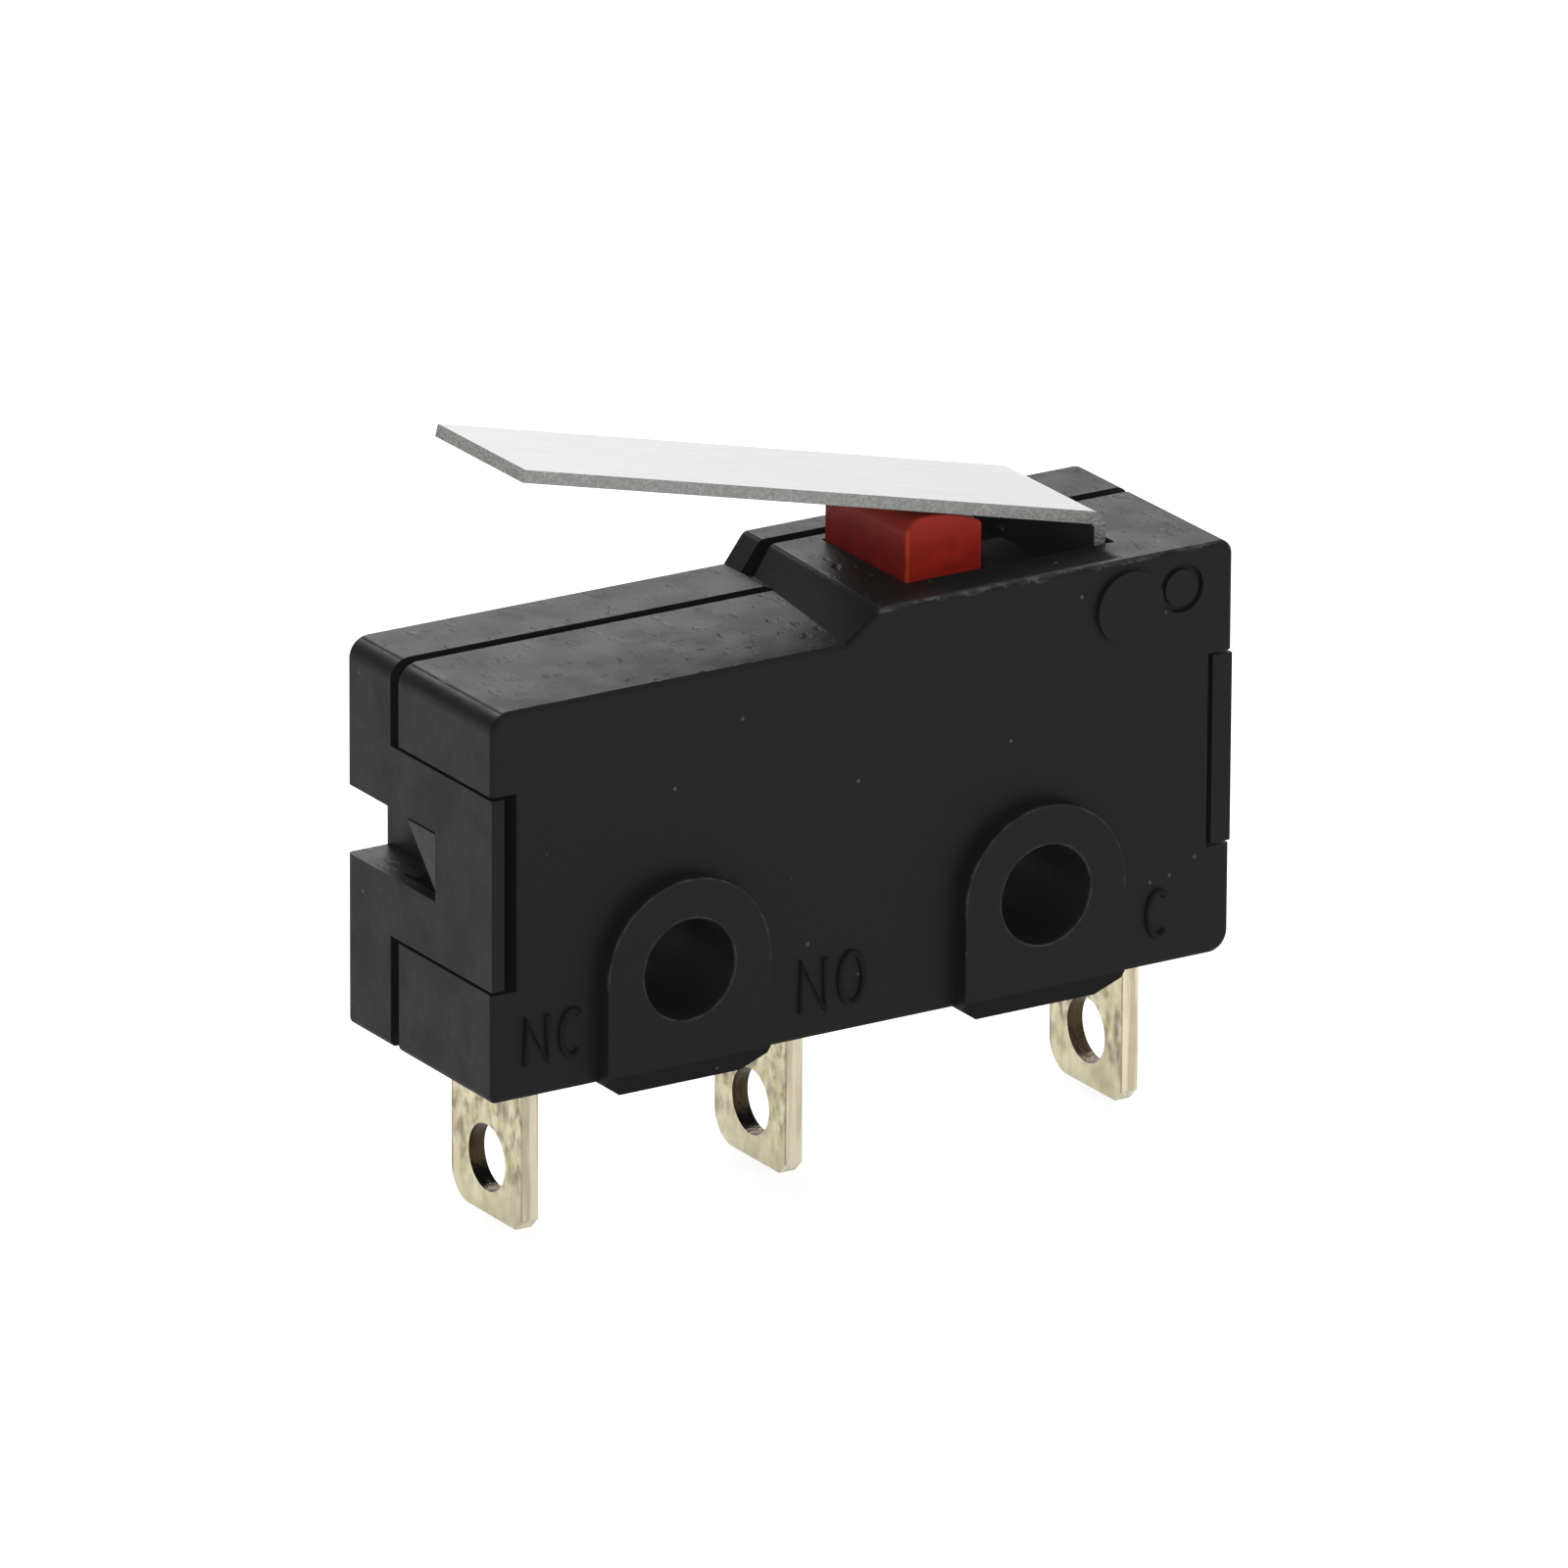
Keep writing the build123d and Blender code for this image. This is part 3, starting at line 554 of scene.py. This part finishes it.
# %% [markdown]
# The plunger is a plain red moulding, smoother than the case. Its colour is deep rather than bright,
# because little light reaches it under the lever. Its upright front edge on the left carries a painted
# highlight, a shade more orange, and its crown a paler, pinker painted highlight towards the top. Such
# highlights could be painted by hand. A mask finds the edge instead: it is the place that is near the
# front and near the left side at once.

# %% Red plunger
STEM_MIDDLE, STEM_WIDTH = 3.0, 2.03
HIGHLIGHT_EDGE = {"full": 0.04, "gone": 0.10}
CROWN_START, CROWN_FULL = 0.9, 0.1
RED = {
    "plain": (0.20, 0.008, 0.003),
    "clouds": ((0.18, 0.004, 0.001), (0.24, 0.008, 0.002)),
    "crown": (0.25, 0.018, 0.010),
    "edge_highlight": (0.36, 0.034, 0.010),
}


def red_plastic():
    """Red plastic with a painted highlight on the front edge and a paler, pinker painted highlight on the
    crown.
    """
    material, tree, shader, place = new_finish("red_plastic", RED["plain"], roughness=0.40, specular=0.05)
    x, y, z = split(tree, place)
    low, high = (Vector(corner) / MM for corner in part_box("plunger"))
    left_edge = near(tree, x, STEM_MIDDLE - STEM_WIDTH / 2, **HIGHLIGHT_EDGE)
    front_edge = near(tree, y, low.y, **HIGHLIGHT_EDGE)
    highlight_patches = squeeze(tree, noise(tree, place, scale=2.4), 0.30, 0.55)
    edge_highlight = both(tree, both(tree, left_edge, front_edge), highlight_patches)
    crown = squeeze(tree, z, high.z - CROWN_START, high.z - CROWN_FULL)
    clouds = squeeze(tree, noise(tree, place, scale=1.6), 0.35, 0.65)
    color = mix(tree, clouds, *RED["clouds"])
    # The crown is paler and pinker towards the top: a painted highlight.
    color = mix(tree, crown, color, RED["crown"])
    # The upright front-left edge is a shade more orange: a painted highlight.
    color = mix(tree, edge_highlight, color, RED["edge_highlight"])
    tree.links.new(color, shader.inputs["Base Color"])
    press(tree, shader, noise(tree, place, scale=5.0), depth=0.008)
    return material


dress("plunger", red_plastic())

# %% [markdown]
# The lever is a strip of bright stainless steel. Its two broad faces were rolled smooth, so they carry fine
# lines along their length and reflect the sky almost white. Its four edges were sheared by the press, which
# tears the metal: they are rough, dull and mottled, and the free end is a little paler. Two materials could
# be given to different faces of the mesh. The way a face points tells the two finishes apart as well, so
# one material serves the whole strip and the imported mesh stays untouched.

# %% Steel lever
END_REACH = 0.3
ROLLED_SHARE = 0.2
STEEL = {
    "plain": (0.80, 0.80, 0.79),
    "rolled": ((0.52, 0.52, 0.516), (0.565, 0.565, 0.561)),
    "sheared": ((0.235, 0.235, 0.23), (0.32, 0.32, 0.312)),
    "free_end": ((0.24, 0.235, 0.228), (0.37, 0.36, 0.345)),
}


def lever_steel():
    """Bright rolled faces, and torn dull edges where the strip was sheared."""
    material, tree, shader, place = new_finish("lever_steel", STEEL["plain"], roughness=0.3, metallic=1.0)
    sideways, frontways = facing(tree)[:2]
    side = squeeze(tree, math_node(tree, "ABSOLUTE", frontways), 0.5, 0.8)
    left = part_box("lever")[0][0] / MM
    end = fall(tree, split(tree, place)[0], left + END_REACH, left + 2 * END_REACH)
    end = both(tree, fall(tree, sideways, -0.9, -0.6), end)
    lines = noise(tree, place, scale=9.0, stretch=(0.08, 1, 0.08))
    torn = squeeze(tree, noise(tree, place, scale=13.0, detail=4.0), 0.3, 0.7)
    rolled = mix(tree, squeeze(tree, lines, 0.3, 0.7), *STEEL["rolled"])
    sheared = mix(tree, torn, *STEEL["sheared"])
    free_end = mix(tree, torn, *STEEL["free_end"])
    color = mix(tree, end, mix(tree, side, rolled, sheared), free_end)
    tree.links.new(color, shader.inputs["Base Color"])
    dull = either(tree, side, end)
    tree.links.new(squeeze(tree, dull, 0.0, 1.0, to_low=0.28, to_high=0.55), shader.inputs["Roughness"])
    height = math_node(tree, "ADD", math_node(tree, "MULTIPLY", lines, ROLLED_SHARE), both(tree, torn, dull))
    press(tree, shader, height, depth=0.01)
    return material


dress("lever", lever_steel())

# %% [markdown]
# The terminals are stamped brass under a thin pale gold plating. The plating is uneven: near the case it is
# stained grey and greenish in soft streaks, and the walls of the punched solder holes, which the plating
# hardly reached, are dark brown. The narrow sheared edges have streaks along them, and a thin dark line
# where they meet the broad faces. All this could be a painted picture wrapped round each blade. Masks do it
# without one, and one material fits all three blades. A hole is found by its distance from one point: the
# middle of its blade, a set height above the tip.

# %% Plated terminals
SOLDER_HOLE_RADIUS = 0.8
HOLE_ABOVE_TIP = 1.35
WALL_NEAR, WALL_FAR = 0.02, 0.06
BLADE_HALF_WIDTH = 1.55
CORNER_LINE = {"full": 0.04, "gone": 0.11}
CORNER_SHARE = 0.7
STAIN_START, STAIN_FULL, FAINTEST_STAIN = -1.2, 0.2, 0.3
BRASS = {
    "plain": (0.56, 0.51, 0.35),
    "plating": ((0.52, 0.475, 0.315), (0.60, 0.560, 0.385)),
    "stained": (0.26, 0.215, 0.150),
    "greenish": (0.45, 0.410, 0.230),
    "sheared": ((0.64, 0.585, 0.430), (0.45, 0.400, 0.290)),
    "corner": (0.24, 0.200, 0.130),
    "hole": ((0.012, 0.008, 0.004), (0.09, 0.065, 0.035)),
}


def hole_wall(tree, across, up):
    """The wall of the solder hole, found by its place and by the way it faces."""
    away = distance(tree, across, up)
    close = fall(tree, away, SOLDER_HOLE_RADIUS + WALL_NEAR, SOLDER_HOLE_RADIUS + WALL_FAR)
    return both(tree, close, fall(tree, math_node(tree, "ABSOLUTE", facing(tree)[0]), 0.3, 0.6))


def plated_brass():
    """Pale gold plating with stains near the case, streaked edges and dark hole walls."""
    material, tree, shader, place = new_finish("plated_brass", BRASS["plain"], roughness=0.32, metallic=1.0)
    across, height = split(tree, place)[1:]
    up = math_node(tree, "SUBTRACT", height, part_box("common_terminal")[0][2] / MM + HOLE_ABOVE_TIP)
    near_case = squeeze(tree, up, STAIN_START, STAIN_FULL, to_low=FAINTEST_STAIN, to_high=1.0)
    streaks = noise(tree, place, scale=3.4, detail=5.0, stretch=(1, 1, 0.6))
    stained = both(tree, squeeze(tree, streaks, 0.35, 0.70), near_case)
    greenish = both(tree, squeeze(tree, noise(tree, place, scale=2.4, detail=4.0), 0.48, 0.68), near_case)
    soft = squeeze(tree, noise(tree, place, scale=1.0, detail=2.0), 0.35, 0.65)
    edge_lines = squeeze(tree, noise(tree, place, scale=5.0, stretch=(1, 1, 0.05)), 0.42, 0.60)
    side = squeeze(tree, math_node(tree, "ABSOLUTE", facing(tree)[1]), 0.5, 0.8)
    corner = near(tree, math_node(tree, "ABSOLUTE", across), BLADE_HALF_WIDTH, **CORNER_LINE)
    color = mix(tree, soft, *BRASS["plating"])
    color = mix(tree, stained, color, BRASS["stained"])
    color = mix(tree, greenish, color, BRASS["greenish"])
    color = mix(tree, math_node(tree, "MULTIPLY", corner, CORNER_SHARE), color, BRASS["corner"])
    color = mix(tree, side, color, mix(tree, edge_lines, *BRASS["sheared"]))
    color = mix(tree, hole_wall(tree, across, up), color, mix(tree, streaks, *BRASS["hole"]))
    tree.links.new(color, shader.inputs["Base Color"])
    tree.links.new(squeeze(tree, stained, 0.0, 1.0, to_low=0.30, to_high=0.5), shader.inputs["Roughness"])
    press(tree, shader, math_node(tree, "ADD", streaks, edge_lines), depth=0.010)
    return material


terminal_metal = plated_brass()
for node in ("common_terminal", "normally_open_terminal", "normally_closed_terminal"):
    dress(node, terminal_metal)

# %% [markdown]
# Inside the case the snap mechanism is hardly seen, but it shows through the plunger's opening and in a
# model that is taken apart. Each metal could have a finish built for it alone. Where so little shows, one
# simple recipe serves them all: the metal's own colour, a little cloudiness and fine grain.

# %% Inner metals
INNER_METALS = {
    "contact_silver": ((0.80, 0.80, 0.77), 0.30, ("upper_contact", "lower_contact", "moving_contact")),
    "spring_brass": ((0.70, 0.44, 0.20), 0.32, ("contact_arm",)),
    "inner_steel": ((0.58, 0.58, 0.58), 0.36, ("rocker",)),
    "spring_steel": ((0.52, 0.52, 0.53), 0.28, ("snap_spring",)),
}
DARKER_SHARE = 0.75


def inner_metal(name, color, roughness):
    """A clean metal with faint clouds and a fine grain."""
    material, tree, shader, place = new_finish(name, color, roughness, metallic=1.0)
    clouds = squeeze(tree, noise(tree, place, scale=2.5), 0.35, 0.65)
    darker = tuple(DARKER_SHARE * part for part in color)
    tree.links.new(mix(tree, clouds, darker, color), shader.inputs["Base Color"])
    press(tree, shader, noise(tree, place, scale=9.0), depth=0.006)
    return material


for name, (color, roughness, nodes) in INNER_METALS.items():
    metal = inner_metal(name, color, roughness)
    for node in nodes:
        dress(node, metal)

# %% [markdown]
# The contacts' short names stand beside the terminals on the front face: NC, NO and C, as on every
# changeover switch. They are low ridges, left where a round cutter engraved the mould. Their colour is
# darker than the face: painted shade for the shadows along the strokes. A font could be used, but its
# strokes have flat tops and swelling widths. A ridge is simpler as a path: each letter is a few lines and
# arcs, swept with a small round section and sunk partly into the face.

# %% Contact marks
STROKE_RADIUS = 0.08
STROKE_RAISE = 0.03
STROKE_STEPS = 2
LETTER_SHAPE = 0.52
LETTER_PITCH = 0.85
MARKS = {
    "mark_normally_closed": ("NC", -8.07, -1.10, 1.10),
    "mark_normally_open": ("NO", -0.72, -1.19, 1.22),
    "mark_common": ("C", 8.05, -1.20, 1.08),
}


def round_stroke(first, last, steps=20):
    """Points on an upright oval between two angles, in a letter box from -0.5 to 0.5."""
    angles = [math.radians(first + (last - first) * step / steps) for step in range(steps + 1)]
    return [(0.5 * math.cos(angle), 0.5 * math.sin(angle)) for angle in angles]


LETTERS = {
    "N": [(-0.5, -0.5), (-0.5, 0.5), (0.5, -0.5), (0.5, 0.5)],
    "O": round_stroke(0, 360),
    "C": round_stroke(50, 310),
}


def add_mark(name, text, middle_x, middle_z, height, material):
    """A word of ridged letters on the front face."""
    curve = bpy.data.curves.new(name, "CURVE")
    curve.dimensions = "3D"
    curve.bevel_depth = STROKE_RADIUS * MM
    curve.bevel_resolution = STROKE_STEPS
    curve.use_fill_caps = True
    start = middle_x - LETTER_PITCH * height * (len(text) - 1) / 2
    for index, letter in enumerate(text):
        points = LETTERS[letter]
        spline = curve.splines.new("POLY")
        spline.points.add(len(points) - 1)
        for point, (across, up) in zip(spline.points, points):
            x = start + height * (LETTER_PITCH * index + LETTER_SHAPE * across)
            z = middle_z + height * up
            point.co = (x * MM, (FRONT_FACE_Y - STROKE_RAISE) * MM, z * MM, 1)
    mark = bpy.data.objects.new(name, curve)
    bpy.context.scene.collection.objects.link(mark)
    mark.data.materials.append(material)
    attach(mark, "case")
    print(name, text, "at", middle_x, middle_z)


# The marks' darker colour is painted shade along the strokes.
shaded_mark_plastic = cloudy_plastic("shaded_mark_plastic", roughness=0.6, dark=0.001, plain=0.003, pale=0.004)
for name, (text, middle_x, middle_z, height) in MARKS.items():
    add_mark(name, text, middle_x, middle_z, height, shaded_mark_plastic)
